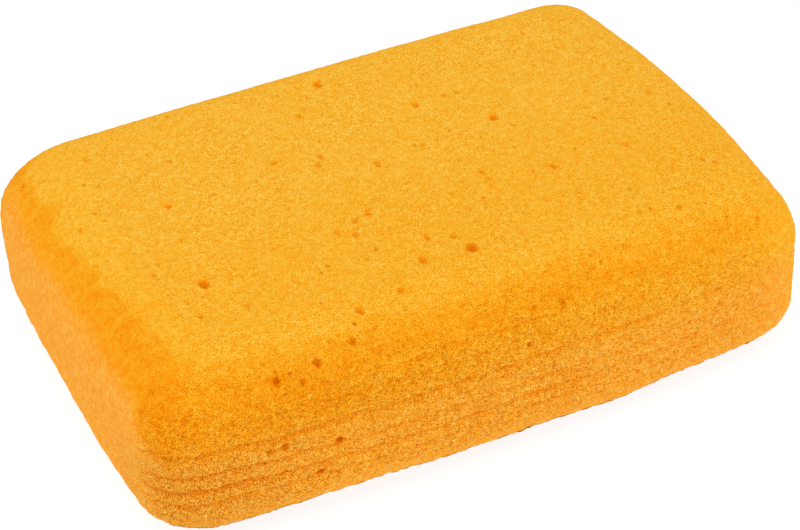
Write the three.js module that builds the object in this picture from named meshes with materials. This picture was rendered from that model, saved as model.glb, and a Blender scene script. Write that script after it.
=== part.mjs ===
// Extra-large grouting sponge: one block of open-cell foam with every edge rolled over.
// Millimetres. +X runs along the block, -Y is the front, +Z is up.
// The origin is on the underside, below the middle of the block.
import { EllipseCurve, Group, Mesh, MeshStandardMaterial, QuadraticBezierCurve, Vector2 } from "three";
import { ParametricGeometry } from "three/addons/geometries/ParametricGeometry.js";
import { mergeVertices } from "three/addons/utils/BufferGeometryUtils.js";

// Overall size.
const LENGTH = 190.5;
const WIDTH = 133.4;
const HEIGHT = 50.8;

// Each side bows out a little between its two corners.
const RIGHT_BOW = 3.2;
const BACK_BOW = 1.0;
const LEFT_BOW = 1.3;
const FRONT_BOW = 3.4;

// Corner radii, seen from above.
const FRONT_RIGHT_RADIUS = 14;
const BACK_RIGHT_RADIUS = 11;
const BACK_LEFT_RADIUS = 18;
const FRONT_LEFT_RADIUS = 17;

// Rolled edges: a quarter ellipse that reaches in over the flat face and down or up the side.
const TOP_ROLL_REACH = 20;
const TOP_ROLL_DROP = 19;
const BOTTOM_ROLL_REACH = 13.3;
const BOTTOM_ROLL_RISE = 13.1;

// How finely the curves are divided.
const CORNER_STEPS = 10;
const SIDE_STEPS = 8;
const ROLL_STEPS = 7;

const HALF_LENGTH = LENGTH / 2;
const HALF_WIDTH = WIDTH / 2;
const QUARTER_TURN = Math.PI / 2;

const foam = new MeshStandardMaterial({ color: 0xf8a930, roughness: 0.95, metalness: 0 });

// A corner is an arc whose ends are set in from the box by the bows of the two sides it joins.
function cornerArc(sideX, sideY, radius, bowX, bowY, quarter) {
  const centreX = sideX * (HALF_LENGTH - bowX - radius);
  const centreY = sideY * (HALF_WIDTH - bowY - radius);
  const start = quarter * QUARTER_TURN;
  return new EllipseCurve(centreX, centreY, radius, radius, start, start + QUARTER_TURN);
}

// A side is a shallow curve between two corners that touches the box at its middle.
function bowedSide(fromArc, toArc, outwardX, outwardY, bow) {
  const start = fromArc.getPoint(1);
  const end = toArc.getPoint(0);
  const control = start.clone().add(end).multiplyScalar(0.5);
  control.add(new Vector2(outwardX, outwardY).multiplyScalar(2 * bow));
  return new QuadraticBezierCurve(start, control, end);
}

// The outline seen from above, anticlockwise from the start of the front right corner.
function blockOutline() {
  const frontRight = cornerArc(1, -1, FRONT_RIGHT_RADIUS, RIGHT_BOW, FRONT_BOW, 3);
  const backRight = cornerArc(1, 1, BACK_RIGHT_RADIUS, RIGHT_BOW, BACK_BOW, 0);
  const backLeft = cornerArc(-1, 1, BACK_LEFT_RADIUS, LEFT_BOW, BACK_BOW, 1);
  const frontLeft = cornerArc(-1, -1, FRONT_LEFT_RADIUS, LEFT_BOW, FRONT_BOW, 2);
  const stretches = [
    [frontRight, bowedSide(frontRight, backRight, 1, 0, RIGHT_BOW)],
    [backRight, bowedSide(backRight, backLeft, 0, 1, BACK_BOW)],
    [backLeft, bowedSide(backLeft, frontLeft, -1, 0, LEFT_BOW)],
    [frontLeft, bowedSide(frontLeft, frontRight, 0, -1, FRONT_BOW)],
  ];
  return stretches.flatMap(([corner, side]) => {
    const sideWithoutEnds = side.getPoints(SIDE_STEPS).slice(1, -1);
    return [...corner.getPoints(CORNER_STEPS), ...sideWithoutEnds];
  });
}

// The side's profile: x is how far a point is set in from the outline, y is its height.
// It starts at the middle of the underside and ends at the middle of the top.
function sideProfile() {
  const bottomRoll = new EllipseCurve(
    BOTTOM_ROLL_REACH, BOTTOM_ROLL_RISE, BOTTOM_ROLL_REACH, BOTTOM_ROLL_RISE,
    -QUARTER_TURN, -2 * QUARTER_TURN, true,
  );
  const topRoll = new EllipseCurve(
    TOP_ROLL_REACH, HEIGHT - TOP_ROLL_DROP, TOP_ROLL_REACH, TOP_ROLL_DROP,
    2 * QUARTER_TURN, QUARTER_TURN, true,
  );
  return [
    new Vector2(HALF_LENGTH, 0),
    ...bottomRoll.getPoints(ROLL_STEPS),
    ...topRoll.getPoints(ROLL_STEPS),
    new Vector2(HALF_LENGTH, HEIGHT),
  ];
}

// Scales a coordinate of the outline so that the outline's edge moves in by the inset.
function setIn(coordinate, halfSize, inset) {
  return coordinate * Math.max(0, 1 - inset / halfSize);
}

// The block's surface: the profile is carried round the outline, and closes at the two middles.
function foamBlockGeometry() {
  const outline = blockOutline();
  const profile = sideProfile();
  const lastRing = profile.length - 1;
  const placePoint = (around, up, target) => {
    const edge = outline[Math.round(around * outline.length) % outline.length];
    const { x: inset, y: height } = profile[Math.round(up * lastRing)];
    target.set(setIn(edge.x, HALF_LENGTH, inset), setIn(edge.y, HALF_WIDTH, inset), height);
  };
  const surface = new ParametricGeometry(placePoint, outline.length, lastRing);
  surface.deleteAttribute("normal");
  surface.deleteAttribute("uv");
  const block = mergeVertices(surface);
  block.computeVertexNormals();
  return block;
}

const foamBlock = new Mesh(foamBlockGeometry(), foam);
foamBlock.name = "foam_block";

const sponge = new Group();
sponge.add(foamBlock);

export default sponge;
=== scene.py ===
"""Looks for the grouting sponge: one block of open-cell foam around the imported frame.

Blender's own values are in metres in the row frame. The foam's shaping functions work in
millimetres. +X runs along the block, -Y is the front, +Z is up.
"""

import itertools
import math

import bpy
import numpy as np
from mathutils import Matrix, Vector


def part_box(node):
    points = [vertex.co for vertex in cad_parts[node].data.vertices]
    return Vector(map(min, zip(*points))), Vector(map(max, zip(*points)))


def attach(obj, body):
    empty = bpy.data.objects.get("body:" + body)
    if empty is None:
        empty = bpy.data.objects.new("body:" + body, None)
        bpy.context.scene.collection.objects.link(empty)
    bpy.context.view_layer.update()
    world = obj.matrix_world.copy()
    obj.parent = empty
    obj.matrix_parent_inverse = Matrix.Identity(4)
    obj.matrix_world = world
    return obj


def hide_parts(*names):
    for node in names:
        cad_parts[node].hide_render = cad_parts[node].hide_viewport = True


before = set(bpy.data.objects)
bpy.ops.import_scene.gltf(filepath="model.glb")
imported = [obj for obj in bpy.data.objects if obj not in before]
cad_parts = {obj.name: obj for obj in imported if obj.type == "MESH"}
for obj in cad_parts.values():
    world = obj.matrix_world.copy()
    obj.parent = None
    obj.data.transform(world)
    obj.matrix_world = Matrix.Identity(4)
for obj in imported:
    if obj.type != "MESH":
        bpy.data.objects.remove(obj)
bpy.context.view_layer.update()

MM = 0.001
NODE = "foam_block"

# ---------------------------------------------------------------- the camera
CAMERA_AZIMUTH = math.radians(-23.6)
CAMERA_ELEVATION = math.radians(36.7)
CAMERA_ROLL = math.radians(-3.04)
CAMERA_DISTANCE = 0.645
CAMERA_TARGET = Vector((-0.0032, -0.00967, 0.02502))
CAMERA_LENS = 109.0
SENSOR_WIDTH = 36.0
CLIP_START = 0.01
CLIP_END = 50.0


def add_camera():
    data = bpy.data.cameras.new("camera")
    data.lens = CAMERA_LENS
    data.sensor_width = SENSOR_WIDTH
    data.clip_start = CLIP_START
    data.clip_end = CLIP_END
    camera = bpy.data.objects.new("camera", data)
    bpy.context.scene.collection.objects.link(camera)
    back = Vector((
        math.sin(CAMERA_AZIMUTH) * math.cos(CAMERA_ELEVATION),
        -math.cos(CAMERA_AZIMUTH) * math.cos(CAMERA_ELEVATION),
        math.sin(CAMERA_ELEVATION),
    ))
    turn = (-back).to_track_quat("-Z", "Y").to_matrix().to_4x4()
    place = Matrix.Translation(CAMERA_TARGET + back * CAMERA_DISTANCE)
    camera.matrix_world = place @ turn @ Matrix.Rotation(CAMERA_ROLL, 4, "Z")
    bpy.context.scene.camera = camera


# ---------------------------------------------------------------- repeatable random fields
MIX_X, MIX_Y, MIX_Z, MIX_SEED = (
    np.uint64(n)
    for n in (0x9E3779B97F4A7C15, 0xC2B2AE3D27D4EB4F, 0x165667B19E3779F9, 0xD6E8FEB86659FD93)
)
WORD_RANGE = 2 ** 64
HALF_WORD = np.uint64(32)
QUARTER_BITS = 16
QUARTER_MASK = 0xFFFF

# A float holds 53 of a word's 64 bits exactly.
SPARE_BITS = np.uint64(11)
HALF_FLOAT_RANGE = 2.0 ** 52


def mixed(cells, seed):
    """A well mixed 64-bit number for each whole-numbered cell."""
    x, y, z = (cells[:, i].astype(np.uint64) for i in range(3))
    start = np.uint64(seed * int(MIX_SEED) % WORD_RANGE)
    word = x * MIX_X ^ y * MIX_Y ^ z * MIX_Z ^ start
    for _ in range(2):
        word ^= word >> HALF_WORD
        word *= MIX_SEED
    return word ^ (word >> HALF_WORD)


def chances(cells, seed):
    """Four random numbers from 0 to 1 for each cell, one per row."""
    word = mixed(cells, seed)
    mask = np.uint64(QUARTER_MASK)
    quarters = [(word >> np.uint64(QUARTER_BITS * k)) & mask for k in range(4)]
    return np.stack([quarter / float(QUARTER_MASK) for quarter in quarters])


def noise(points, size, seed):
    """Smooth random values from -1 to 1 that change over about size."""
    grid = points / size
    cell = np.floor(grid).astype(np.int64)
    part = grid - cell
    ease = part * part * (3 - 2 * part)
    total = np.zeros(len(points))
    for corner in itertools.product((0, 1), repeat=3):
        weight = np.prod(np.where(corner, ease, 1 - ease), axis=1)
        total += weight * (mixed(cell + np.array(corner), seed) >> SPARE_BITS)
    return total / HALF_FLOAT_RANGE - 1


def bubbles(points, normals, spacing, radii, seed, rarity=1.0):
    """How far each point falls into the round cells that the surface cuts open.

    The radii are shares of the spacing. The higher the rarity, the fewer cells are large.
    """
    cell = np.floor(points / spacing).astype(np.int64)
    small, large = radii
    depth = np.zeros(len(points))
    for offset in itertools.product((-1, 0, 1), repeat=3):
        there = cell + np.array(offset)
        chance = chances(there, seed)
        radius = spacing * (small + (large - small) * chance[3] ** rarity)
        away = points - (there + chance[:3].T) * spacing
        along = np.einsum("ij,ij->i", away, normals)
        gap = radius ** 2 - np.einsum("ij,ij->i", away, away)
        wall = along + np.sqrt(np.maximum(gap + along ** 2, 0))
        depth = np.maximum(depth, np.where(gap > 0, wall, 0))
    return depth


def smooth_step(low, high, value):
    part = np.clip((value - low) / (high - low), 0, 1)
    return part * part * (3 - 2 * part)


# ---------------------------------------------------------------- the block's form, in millimetres
block_low, block_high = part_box(NODE)
HALF_LENGTH = (block_high.x - block_low.x) / 2 / MM
HALF_WIDTH = (block_high.y - block_low.y) / 2 / MM
HEIGHT = (block_high.z - block_low.z) / MM

# How far each side bows out, and the radii of the upright corners.
BOWS = {"right": 3.2, "back": 1.0, "left": 1.3, "front": 3.4}
CORNER_RADII = {"front_right": 14, "back_right": 11, "back_left": 18, "front_left": 17}

# How far the sides roll in at the top and the bottom, and over what height.
TOP_ROLL = (20, 19)
BOTTOM_ROLL = (13.3, 13.1)

QUARTER_TURN = math.pi / 2
ARC_STEPS = 24
VOXEL = 0.3


def arc(centre, radius, start):
    angles = start + np.linspace(0, QUARTER_TURN, ARC_STEPS)
    return np.stack([centre[0] + radius * np.cos(angles), centre[1] + radius * np.sin(angles)], 1)


def bowed(start, end, outward, bow):
    """A shallow curve from start to end, without its two ends."""
    control = (start + end) / 2 + np.array(outward) * 2 * bow
    t = np.linspace(0, 1, 3 * ARC_STEPS)[1:-1, None]
    return (1 - t) ** 2 * start + 2 * t * (1 - t) * control + t ** 2 * end


def block_outline():
    """The block seen from above at its widest, anticlockwise from the front right corner."""
    corners = [
        ("front_right", 1, -1, "right", "front", 3),
        ("back_right", 1, 1, "right", "back", 0),
        ("back_left", -1, 1, "left", "back", 1),
        ("front_left", -1, -1, "left", "front", 2),
    ]
    sides = [("right", (1, 0)), ("back", (0, 1)), ("left", (-1, 0)), ("front", (0, -1))]
    arcs = []
    for name, side_x, side_y, end_side, long_side, quarter in corners:
        radius = CORNER_RADII[name]
        centre = (
            side_x * (HALF_LENGTH - BOWS[end_side] - radius),
            side_y * (HALF_WIDTH - BOWS[long_side] - radius),
        )
        arcs.append(arc(centre, radius, quarter * QUARTER_TURN))
    parts = []
    for i, (side, outward) in enumerate(sides):
        parts.append(arcs[i])
        parts.append(bowed(arcs[i][-1], arcs[(i + 1) % 4][0], outward, BOWS[side]))
    return np.vstack(parts)


def side_profile():
    """(inset, height) from the edge of the flat underside to the edge of the flat top."""
    turn = np.linspace(0, QUARTER_TURN, ARC_STEPS)
    reach, rise = BOTTOM_ROLL
    bottom = np.stack([reach * (1 - np.sin(turn)), rise * (1 - np.cos(turn))], 1)
    reach, drop = TOP_ROLL
    top = np.stack([reach * (1 - np.cos(turn)), HEIGHT - drop * (1 - np.sin(turn))], 1)
    return np.vstack([bottom, top])


def block_mesh():
    """The smooth block as one closed mesh, in metres."""
    outline = block_outline()
    around = len(outline)
    half = np.array([HALF_LENGTH, HALF_WIDTH])
    rings = []
    for inset, height in side_profile():
        ring = outline * (1 - inset / half)
        rings.append(np.column_stack([ring, np.full(around, height)]))
    points = np.vstack(rings) * MM
    faces = []
    for level, i in itertools.product(range(len(rings) - 1), range(around)):
        a, b = level * around + i, level * around + (i + 1) % around
        faces.append((a, b, b + around, a + around))
    faces.append(tuple(reversed(range(around))))
    last = (len(rings) - 1) * around
    faces.append(tuple(range(last, last + around)))
    mesh = bpy.data.meshes.new(NODE + "_form")
    mesh.from_pydata(points.tolist(), [], faces)
    mesh.update()
    return mesh


def even_mesh(mesh, voxel):
    """The same form as a mesh of even squares about voxel metres across."""
    source = bpy.data.objects.new("form", mesh)
    bpy.context.scene.collection.objects.link(source)
    remesh = source.modifiers.new("remesh", "REMESH")
    remesh.mode = "VOXEL"
    remesh.voxel_size = voxel
    graph = bpy.context.evaluated_depsgraph_get()
    even = bpy.data.meshes.new_from_object(source.evaluated_get(graph), depsgraph=graph)
    bpy.data.objects.remove(source)
    return even


def vertex_values(mesh, name):
    values = np.empty(len(mesh.vertices) * 3)
    mesh.vertices.foreach_get(name, values)
    return values.reshape(-1, 3)


# ---------------------------------------------------------------- the foam's surface, in millimetres
# The four kinds of open cell. Their radii are shares of their spacing.
FINE_CELLS = {"spacing": 0.85, "radii": (0.35, 0.62), "seed": 31}
COARSE_CELLS = {"spacing": 1.7, "radii": (0.12, 0.42), "seed": 41, "rarity": 1.5}
DIMPLES = {"spacing": 3.1, "radii": (0.05, 0.27), "seed": 91, "rarity": 1.7}
PITS = {"spacing": 5.5, "radii": (0.05, 0.14), "seed": 51, "rarity": 2.6}
DEEPEST_FINE = 0.6
DEEPEST_COARSE = 0.8

# A pit this deep has its full painted shade.
FULL_PIT = 0.95

# Pits and dimples are longer from front to back: this squeezes them round again.
SQUEEZE = np.array([1, 0.7, 1])

# The largest pits: where they open, and how wide they are.
LARGE_PITS = [
    ((2, -43, 51), 3.0),
    ((-63, -25, 51), 2.8),
    ((-1, 46, 51), 2.6),
    ((34, 7, 51), 2.5),
    ((-3, 2, 51), 2.1),
    ((-11, -42, 51), 2.3),
    ((-27, 16, 51), 2.0),
    ((18, 23, 51), 2.0),
    ((37, -21, 51), 2.2),
    ((-59, 10.5, 51), 2.0),
    ((-14.5, -17, 51), 2.0),
    ((-15, 12.5, 51), 1.9),
    ((-17, 9, 51), 1.8),
    ((0, -36.5, 51), 1.9),
    ((-6, -34, 51), 1.9),
    ((11, 4.5, 51), 1.8),
    ((-21.5, -24, 51), 1.8),
    ((-19, -18.5, 51), 1.7),
    ((27, 23.5, 51), 1.7),
    ((19.5, -15, 51), 1.7),
    ((-12, 33, 51), 1.7),
    ((58.5, -21.5, 51), 1.7),
    ((-21, -50, 50), 2.0),
    ((-33, -52, 49.5), 2.1),
    ((-38, -58, 45.8), 2.0),
    ((-48, -59, 44.2), 2.2),
    ((-59, -60, 43.2), 2.5),
    ((-53, -61, 41.5), 1.8),
    ((17, -64, 41), 2.0),
    ((-46, -66, 23.4), 2.4),
    ((-60, -65, 26.2), 2.5),
    ((-51, -64, 15), 2.6),
    ((-64, -65, 25.8), 1.9),
    ((6, -66, 34), 1.6),
]
PIT_WOBBLE = 0.45
PIT_WOBBLE_SEEDS = (71, 72, 73)
PIT_DEPTH_TO_RADIUS = 0.65

# Soft swells and dents that keep the outline from being quite even: place, reach and height.
SWELLS = [
    ((-38, -61, 3), 18, -0.42),
    ((8, -62, 3), 18, -0.2),
    ((34, -61, 3), 12, 0.6),
    ((92, -42, 25), 18, -0.2),
    ((60, 64, 46), 24, -0.28),
    ((95, -15, 42), 18, 0.3),
    ((95, 20, 46), 18, 0.2),
    ((-95, 50, 25), 20, 0.22),
    ((-94, 6, 8), 18, -0.28),
]

# Shallow ledges that run round the sides: how high each one is, and how strong.
LEDGES = [
    (14.2, 0.55),
    (18.3, 1.0),
    (22.9, 0.75),
    (30.2, 1.0),
    (34.6, 0.25),
    (36.7, 0.55),
    (40.4, 0.6),
    (42.6, 0.4),
    (44.3, 0.5),
]
LEDGE_DEPTH = 0.8
LEDGE_LIP = (-0.5, 0.2)
LEDGE_REACH = 1.3

# Where changes over the surface start and end. X and Y are from the block's middle, and Z is from
# the floor, all in millimetres. A tilt is how far the surface leans over from level, in degrees.
ROUGH_CORNER_X = (40, 78)
ROUGH_CORNER_Y = (20, 58)
ROUGH_CORNER_Z = (36, 22)
OPEN_TILT = (18, 78)
OPEN_Z = (3, 12)
CALMER_X = (-40, 75)
CALMEST_X = (67, 87)
RAGGED_Z = (9, 2)
NEAR_Y = (15, -50)
FAR_Y = (-15, 40)
TINT_Y = (12, -32)
PALER_X = (0, 70)
PALEST_X = (68, 90)
STEEP_TILT = (48, 72)
STEEP_X = (-60, 10)

# How open the smooth ends and the back are, against 1 for the front.
END_OPENNESS = 0.12
BACK_OPENNESS = 0.7


def large_pits(points, normals):
    """How deep each point lies in one of the listed pits."""
    wobble = np.stack([noise(points, 1.0, seed) for seed in PIT_WOBBLE_SEEDS], axis=1)
    bent = points + PIT_WOBBLE * wobble
    depth = np.zeros(len(points))
    for place, width in LARGE_PITS:
        radius = width / 2
        away = (bent - np.array(place)) * SQUEEZE
        near = np.einsum("ij,ij->i", away, away) < (2 * radius) ** 2
        along = np.einsum("ij,ij->i", away[near], normals[near])
        across = np.sqrt(np.maximum((away[near] ** 2).sum(1) - along ** 2, 0))
        bowl = PIT_DEPTH_TO_RADIUS * radius * smooth_step(1.5, 0.3, across / radius)
        depth[near] = np.maximum(depth[near], bowl)
    return depth


def swells(points):
    """How far soft random waves and the listed swells push each point out."""
    height = 0.16 * noise(points, 36, 11) + 0.12 * noise(points, 12, 12)
    for place, reach, rise in SWELLS:
        away = ((points - np.array(place)) ** 2).sum(1)
        height += rise * np.exp(-away / reach ** 2)
    return height


def lean(normals):
    """How far each part of the surface leans over from level, in degrees."""
    return np.degrees(np.arccos(np.clip(normals[:, 2], -1, 1)))


def facings(normals):
    """How much each part faces (front, back, left, right), from 0 to 1."""
    level = np.maximum(np.hypot(normals[:, 0], normals[:, 1]), 0.001)
    along, across = normals[:, 0] / level, normals[:, 1] / level
    return [smooth_step(0.15, 0.8, part) for part in (-across, across, -along, along)]


def near_rough_corner(points):
    """How near each point is to the roughest place, low on the front left corner."""
    x, y, z = points.T
    return smooth_step(*ROUGH_CORNER_X, -x) * smooth_step(*ROUGH_CORNER_Y, -y) * smooth_step(*ROUGH_CORNER_Z, z)


def openness(points, normals):
    """How coarse and open the foam is, from 0 on the top to 1 on the front."""
    x, _, z = points.T
    front, back, _, _ = facings(normals)
    tilt = lean(normals) + 6 * noise(points, 5, 81) + 4 * noise(points, 2, 82)
    above_bottom = 0.2 + 0.8 * smooth_step(*OPEN_Z, z)
    fade = 1 - 0.4 * smooth_step(*CALMER_X, x) - 0.56 * smooth_step(*CALMEST_X, x)
    facing = np.clip(END_OPENNESS + front * fade + BACK_OPENNESS * back, 0, 1)
    return smooth_step(*OPEN_TILT, tilt) * above_bottom * facing


def cut_side(points, normals):
    """Where the surface is a paler cut side: low at the front, nearly up to the top elsewhere."""
    front, _, _, right = facings(normals)
    height = points[:, 2] + 2 * noise(points, 9, 85)
    start = 38 - 17 * front
    end = 46 - 8 * front
    return (1 - 0.5 * right) * (1 - smooth_step(start, end, height))


def shoulder_orange_and_shade(points, normals):
    """How orange the foam is: partly its own colour, partly painted shade where the shoulders roll
    away from the top.

    It is strong on the front and left shoulders, and faint on the near half of the top.
    """
    x, y, _ = points.T
    front, back, left, right = facings(normals)
    tilt = lean(normals) + 5 * noise(points, 9, 83) + 4 * noise(points, 3, 84)
    near = left * smooth_step(*NEAR_Y, y)
    early = np.maximum(front, near)
    far = left * smooth_step(*FAR_Y, y)
    start = 23 - 13 * early + 4 * far
    end = 34 - 5 * early + 3 * far + 17 * front * (1 - left)
    tint = 0.24 * smooth_step(*TINT_Y, y) * smooth_step(0.6, 0.9, normals[:, 2])
    fade = 1 - 0.3 * smooth_step(*PALER_X, x) - 0.62 * smooth_step(*PALEST_X, x)
    facing = front * fade + left * (1 + 0.3 * near) + 0.1 * (back + right)
    facing = np.clip(facing, 0, 1 + 0.4 * left * early)
    facing *= 1 - 0.4 * front * smooth_step(*STEEP_TILT, tilt) * smooth_step(*STEEP_X, x)
    shoulder = smooth_step(start, end, tilt) * (1 - cut_side(points, normals)) * facing
    return np.maximum(shoulder, tint)


def under_ledges(points, opened, rough_corner):
    """How far the surface is set back under the ledges: slowly from below, then a sharp lip."""
    flat = points * np.array([1, 1, 0.3])
    level = points[:, 2] + 0.35 * noise(flat, 30, 21) + 0.35 * noise(flat, 9, 22)
    level += 0.45 * noise(points, 2.5, 24) - rough_corner
    groove = np.zeros(len(points))
    for height, share in LEDGES:
        under = height - level
        lip = smooth_step(*LEDGE_LIP, under)
        groove += share * lip * np.exp(-np.maximum(under, 0) / LEDGE_REACH)
    strength = 0.85 + 0.4 * noise(flat, 14, 23) + 0.35 * noise(flat, 5, 26) + 0.8 * rough_corner
    return groove * (0.05 + 0.95 * opened) * np.clip(strength, 0.1, 2.5)


def painted_shade_line(normals):
    """Where a thin line of painted shade runs: under the front edge, short of the flat underside."""
    front = facings(normals)[0]
    upward = normals[:, 2]
    return front * smooth_step(-0.6, -0.74, upward) * smooth_step(-0.98, -0.88, upward)


def fuzz(points):
    """Fine unevenness, rougher close to the floor."""
    ragged = smooth_step(*RAGGED_Z, points[:, 2])
    broad = (0.15 + 0.1 * ragged) * noise(points, 2.3, 13)
    return broad + (0.12 + 0.12 * ragged) * noise(points, 1.0, 14)


def shape_foam(mesh):
    """Moves every point of the smooth block along its normal, and keeps what colours it."""
    points = vertex_values(mesh, "co") / MM
    normals = vertex_values(mesh, "normal")
    upright = smooth_step(0.9, 0.4, normals[:, 2])
    upward = smooth_step(0.5, 0.97, normals[:, 2])
    left = facings(normals)[2]
    opened = openness(points, normals)
    rough_corner = near_rough_corner(points)
    groove = under_ledges(points, opened, rough_corner)

    fine = np.minimum(bubbles(points, normals, **FINE_CELLS), DEEPEST_FINE)
    coarse = np.minimum(bubbles(points, normals, **COARSE_CELLS), DEEPEST_COARSE)
    cells = fine * (0.25 + 0.5 * opened) + coarse * (0.04 + 0.2 * opened)
    dimples = bubbles(points * SQUEEZE, normals, **DIMPLES) * (0.43 - 0.2 * upright)
    pits = bubbles(points * SQUEEZE, normals, **PITS) * (0.55 - 0.33 * upright)
    pits = np.maximum(np.maximum(pits, dimples), large_pits(points, normals))

    offset = swells(points) + fuzz(points) * (0.4 + 0.6 * upright) - cells - pits
    offset += 0.1 * opened - groove * LEDGE_DEPTH
    moved = points + normals * offset[:, None]
    moved[:, 2] = np.maximum(moved[:, 2], 0)
    mesh.vertices.foreach_set("co", (moved * MM).ravel())
    mesh.update()
    keep = {
        "grain": upward * (0.45 - 0.18 * left) + 0.16 + 0.74 * opened + 0.22 * rough_corner,
        # partly the foam's own orange, partly painted shade on the shoulders
        "shoulder_orange_and_shade": shoulder_orange_and_shade(points, normals),
        # the hollow also sets painted shade in the material
        "hollow": np.clip(coarse / DEEPEST_COARSE, 0, 1),
        # the pit also sets painted shade in the material
        "pit": np.clip(pits / FULL_PIT, 0, 1),
        # the groove also sets painted shade in the material
        "groove": groove,
        "low": cut_side(points, normals),
        "open": opened,
        "rough_corner": rough_corner,
        # painted shade: a thin dark line under the front edge
        "under": painted_shade_line(normals),
    }
    for name, values in keep.items():
        attribute = mesh.attributes.new(name, "FLOAT", "POINT")
        attribute.data.foreach_set("value", values.astype(np.float32))


# The room round each chart for points that move outwards, and the gap between charts.
CHART_MARGIN = 2.0
CHART_GAP = 4.0


def lay_out_uv(mesh):
    """A box unwrap: each face goes to the chart of the side that it faces, all at one scale."""
    length = 2 * HALF_LENGTH + 2 * CHART_MARGIN
    width = 2 * HALF_WIDTH + 2 * CHART_MARGIN
    height = HEIGHT + 2 * CHART_MARGIN
    second = length + CHART_GAP
    third = second + height + CHART_GAP
    upper = width + CHART_GAP
    charts = {
        (2, 1): (0, 1, 0, 0),
        (2, -1): (0, 1, 0, upper),
        (1, -1): (0, 2, 0, 2 * upper),
        (1, 1): (2, 0, second, 0),
        (0, -1): (2, 1, second, length + CHART_GAP),
        (0, 1): (2, 1, third, 0),
    }
    whole = max(third + height, 2 * upper + height, length + CHART_GAP + width)
    low = np.array([-HALF_LENGTH - CHART_MARGIN, -HALF_WIDTH - CHART_MARGIN, -CHART_MARGIN])
    points = vertex_values(mesh, "co") / MM - low
    facing = np.empty(len(mesh.polygons) * 3)
    mesh.polygons.foreach_get("normal", facing)
    facing = facing.reshape(-1, 3)
    axis = np.abs(facing).argmax(1)
    sign = np.sign(facing[np.arange(len(axis)), axis])
    sizes = np.empty(len(mesh.polygons), dtype=np.int32)
    mesh.polygons.foreach_get("loop_total", sizes)
    corners = np.empty(len(mesh.loops), dtype=np.int32)
    mesh.loops.foreach_get("vertex_index", corners)
    axis = np.repeat(axis, sizes)
    sign = np.repeat(sign, sizes)
    uv = np.zeros((len(corners), 2))
    for (chart_axis, chart_sign), (across, up, start_u, start_v) in charts.items():
        mine = (axis == chart_axis) & (sign == chart_sign)
        uv[mine, 0] = points[corners[mine], across] + start_u
        uv[mine, 1] = points[corners[mine], up] + start_v
    layer = mesh.uv_layers.new(name="OFBake")
    layer.data.foreach_set("uv", (uv / whole).ravel())


def foam_piece():
    mesh = even_mesh(block_mesh(), VOXEL * MM)
    lay_out_uv(mesh)
    shape_foam(mesh)
    mesh.shade_smooth()
    mesh.materials.clear()
    mesh.materials.append(foam_material())
    piece = bpy.data.objects.new("foam_sponge", mesh)
    bpy.context.scene.collection.objects.link(piece)
    return piece


# ---------------------------------------------------------------- the material
def linear(red, green, blue):
    """A colour for a shader from its everyday 0 to 255 values."""
    parts = [c / 255 for c in (red, green, blue)]
    return tuple(c / 12.92 if c < 0.04045 else ((c + 0.055) / 1.055) ** 2.4 for c in parts) + (1,)


# The foam on the top, on a smooth cut side and on a coarse one, and a brown for darker grain and
# painted shade.
GOLD = linear(252, 184, 48)
SMOOTH_CUT = linear(253, 173, 62)
COARSE_CUT = linear(255, 173, 47)
SHADE = linear(128, 56, 0)

# The size of each pattern in the material, and the depth of its bump, in millimetres.
PATCH_SIZE = 3.0
MOTTLE_SIZE = 1.6
GRAIN_SIZE = 0.27
DULLNESS_SIZE = 1.5
BUMP_DEPTH = 0.12

# The middle part of a noise, which is stretched over its whole range.
NOISE_MIDDLE = (0.3, 0.7)
PATCH_RANGE = (0.75, 1.25)
MOTTLE_RANGE = (-0.14, 0.14)
DULLNESS_RANGE = (0.85, 1.0)
GRAIN_CONTRAST = 2.5
DARK_GRAIN = (-0.12, 0.6)

# How much more foam the light passes through where each feature is at full strength.
# Partly the foam's own orange, partly painted shade on the shoulders.
SHOULDER_ORANGE_AND_SHADE_DEPTH = 0.33
# Painted shade in the pits.
PIT_SHADE_DEPTH = 0.95
# Painted shade in the grooves under the ledges.
GROOVE_SHADE_DEPTH = 0.3
OPEN_DEPTH = 0.04
# Painted shade in the hollows of the coarse cells.
HOLLOW_SHADE_DEPTH = 0.15
LEAST_DEPTH = 0.6

# How much of SHADE each feature brings in.
GRAIN_SHADE = 0.53
# Painted shade in the pits, more on the open foam and on the shoulders.
PIT_SHADE = 0.12
OPEN_PIT_SHADE = 0.25
SHOULDER_PIT_SHADE = 0.2
# Makes the foam darker low on the front left corner.
ROUGH_CORNER_DARKENING = 0.07
# Painted shade in a thin dark line under the front edge.
UNDER_SHADE = 0.7

SPECULAR_LEVEL = 0.02


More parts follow.
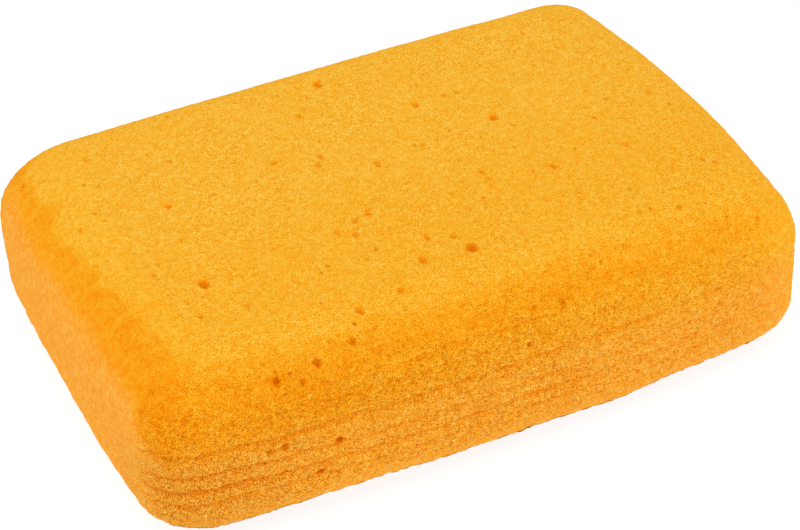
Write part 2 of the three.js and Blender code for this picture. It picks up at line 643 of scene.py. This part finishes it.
class Graph:
    """Short calls for a material's nodes."""

    def __init__(self, material):
        self.nodes = material.node_tree.nodes
        self.links = material.node_tree.links

    def put(self, socket, value):
        if isinstance(value, bpy.types.NodeSocket):
            self.links.new(value, socket)
        else:
            socket.default_value = value

    def attribute(self, name):
        node = self.nodes.new("ShaderNodeAttribute")
        node.attribute_name = name
        return node.outputs["Fac"]

    def math(self, kind, first, second):
        node = self.nodes.new("ShaderNodeMath")
        node.operation = kind
        self.put(node.inputs[0], first)
        self.put(node.inputs[1], second)
        return node.outputs[0]

    def ramp(self, value, low, high, to_low=0.0, to_high=1.0):
        node = self.nodes.new("ShaderNodeMapRange")
        node.interpolation_type = "SMOOTHSTEP"
        self.put(node.inputs["Value"], value)
        self.put(node.inputs["From Min"], low)
        self.put(node.inputs["From Max"], high)
        self.put(node.inputs["To Min"], to_low)
        self.put(node.inputs["To Max"], to_high)
        return node.outputs["Result"]

    def mix(self, share, first, second):
        node = self.nodes.new("ShaderNodeMix")
        node.data_type = "RGBA"
        self.put(node.inputs["Factor"], share)
        self.put(node.inputs["A"], first)
        self.put(node.inputs["B"], second)
        return node.outputs["Result"]

    def total(self, *values):
        result = values[0]
        for value in values[1:]:
            result = self.math("ADD", result, value)
        return result

    def product(self, *values):
        result = values[0]
        for value in values[1:]:
            result = self.math("MULTIPLY", result, value)
        return result

    def deepened(self, colour, amount):
        """The colour after light has passed through amount times as much foam."""
        node = self.nodes.new("ShaderNodeGamma")
        self.put(node.inputs["Color"], colour)
        self.put(node.inputs["Gamma"], amount)
        return node.outputs["Color"]

    def place(self):
        return self.nodes.new("ShaderNodeTexCoord").outputs["Object"]

    def noise(self, place, size, detail=2.0):
        node = self.nodes.new("ShaderNodeTexNoise")
        self.put(node.inputs["Vector"], place)
        node.inputs["Scale"].default_value = 1 / (size * MM)
        node.inputs["Detail"].default_value = detail
        return node.outputs["Fac"]


def foam_material():
    material = bpy.data.materials.new("open_cell_foam")
    material.use_nodes = True
    graph = Graph(material)
    shader = graph.nodes["Principled BSDF"]
    place = graph.place()
    low, opened = graph.attribute("low"), graph.attribute("open")
    shoulder_orange_and_shade, grain = graph.attribute("shoulder_orange_and_shade"), graph.attribute("grain")
    pit, groove, hollow = (graph.attribute(name) for name in ("pit", "groove", "hollow"))
    rough_corner, under = graph.attribute("rough_corner"), graph.attribute("under")

    base = graph.mix(low, GOLD, graph.mix(opened, SMOOTH_CUT, COARSE_CUT))
    patches = graph.ramp(graph.noise(place, PATCH_SIZE, 3), *NOISE_MIDDLE, *PATCH_RANGE)
    mottle = graph.ramp(graph.noise(place, MOTTLE_SIZE, 3), *NOISE_MIDDLE, *MOTTLE_RANGE)
    speck = graph.noise(place, GRAIN_SIZE, 0.5)
    coarse = graph.product(graph.math("SUBTRACT", 0.5, speck), GRAIN_CONTRAST)
    depth = graph.total(
        # partly the foam's own orange, partly painted shade on the shoulders
        graph.product(shoulder_orange_and_shade, patches, SHOULDER_ORANGE_AND_SHADE_DEPTH),
        # painted shade in the pits
        graph.product(graph.math("POWER", pit, 1.5), PIT_SHADE_DEPTH),
        # painted shade in the grooves under the ledges
        graph.product(groove, GROOVE_SHADE_DEPTH),
        graph.product(opened, OPEN_DEPTH),
        # painted shade in the hollows of the coarse cells
        graph.product(hollow, HOLLOW_SHADE_DEPTH),
        graph.product(coarse, grain),
        mottle,
        1.0,
    )
    colour = graph.deepened(base, graph.math("MAXIMUM", depth, LEAST_DEPTH))
    pit_shade = graph.total(
        graph.product(opened, OPEN_PIT_SHADE),
        graph.product(shoulder_orange_and_shade, SHOULDER_PIT_SHADE),
        PIT_SHADE,
    )
    dark = graph.total(
        graph.product(graph.ramp(coarse, *DARK_GRAIN), grain, GRAIN_SHADE),
        # painted shade in the pits
        graph.product(pit, pit, pit_shade),
        # darker low on the front left corner
        graph.product(rough_corner, ROUGH_CORNER_DARKENING),
        # painted shade in a thin dark line under the front edge
        graph.product(under, UNDER_SHADE),
    )
    graph.put(shader.inputs["Base Color"], graph.mix(dark, colour, SHADE))

    bump = graph.nodes.new("ShaderNodeBump")
    bump.inputs["Distance"].default_value = BUMP_DEPTH * MM
    graph.put(bump.inputs["Strength"], graph.total(graph.product(opened, 0.5), 0.35))
    graph.put(bump.inputs["Height"], speck)
    graph.put(shader.inputs["Normal"], bump.outputs["Normal"])
    dullness = graph.ramp(graph.noise(place, DULLNESS_SIZE), *NOISE_MIDDLE, *DULLNESS_RANGE)
    graph.put(shader.inputs["Roughness"], dullness)
    shader.inputs["Specular IOR Level"].default_value = SPECULAR_LEVEL
    return material


# ---------------------------------------------------------------- the studio
FLOOR_SIZE = 3.0
FLOOR_GREY = 0.22
FLOOR_ROUGHNESS = 0.9
FLOOR_GLOW = 0.86
SURROUND_GLOW = 0.84
WHITE = (1, 1, 1, 1)

# Soft round lights that shine on the origin: name, place, width and power in watts.
LIGHTS = [
    ("key", (-0.35, -0.3, 1.1), 0.5, 2.6),
    ("fill", (0.8, -1.0, 0.4), 0.6, 1.2),
]


def add_floor():
    mesh = bpy.data.meshes.new("floor")
    corners = [(-1, -1), (1, -1), (1, 1), (-1, 1)]
    mesh.from_pydata([(x * FLOOR_SIZE, y * FLOOR_SIZE, 0) for x, y in corners], [], [(0, 1, 2, 3)])
    floor = bpy.data.objects.new("floor", mesh)
    bpy.context.scene.collection.objects.link(floor)
    material = bpy.data.materials.new("pale_floor")
    material.use_nodes = True
    shader = material.node_tree.nodes["Principled BSDF"]
    shader.inputs["Base Color"].default_value = (FLOOR_GREY, FLOOR_GREY, FLOOR_GREY, 1)
    shader.inputs["Roughness"].default_value = FLOOR_ROUGHNESS
    shader.inputs["Specular IOR Level"].default_value = 0.0
    shader.inputs["Emission Color"].default_value = WHITE
    shader.inputs["Emission Strength"].default_value = FLOOR_GLOW
    mesh.materials.append(material)


def add_light(name, place, width, power):
    data = bpy.data.lights.new(name, "AREA")
    data.shape = "DISK"
    data.size = width
    data.energy = power
    light = bpy.data.objects.new(name, data)
    bpy.context.scene.collection.objects.link(light)
    light.location = place
    light.rotation_mode = "QUATERNION"
    light.rotation_quaternion = (-Vector(place)).to_track_quat("-Z", "Y")


def add_studio():
    add_floor()
    world = bpy.data.worlds.new("studio")
    world.use_nodes = True
    background = world.node_tree.nodes["Background"]
    background.inputs["Color"].default_value = WHITE
    background.inputs["Strength"].default_value = SURROUND_GLOW
    bpy.context.scene.world = world
    for name, place, width, power in LIGHTS:
        add_light(name, place, width, power)
    bpy.context.scene.view_settings.view_transform = "Standard"


add_camera()
add_studio()
sponge = foam_piece()
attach(sponge, "root")
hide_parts(NODE)
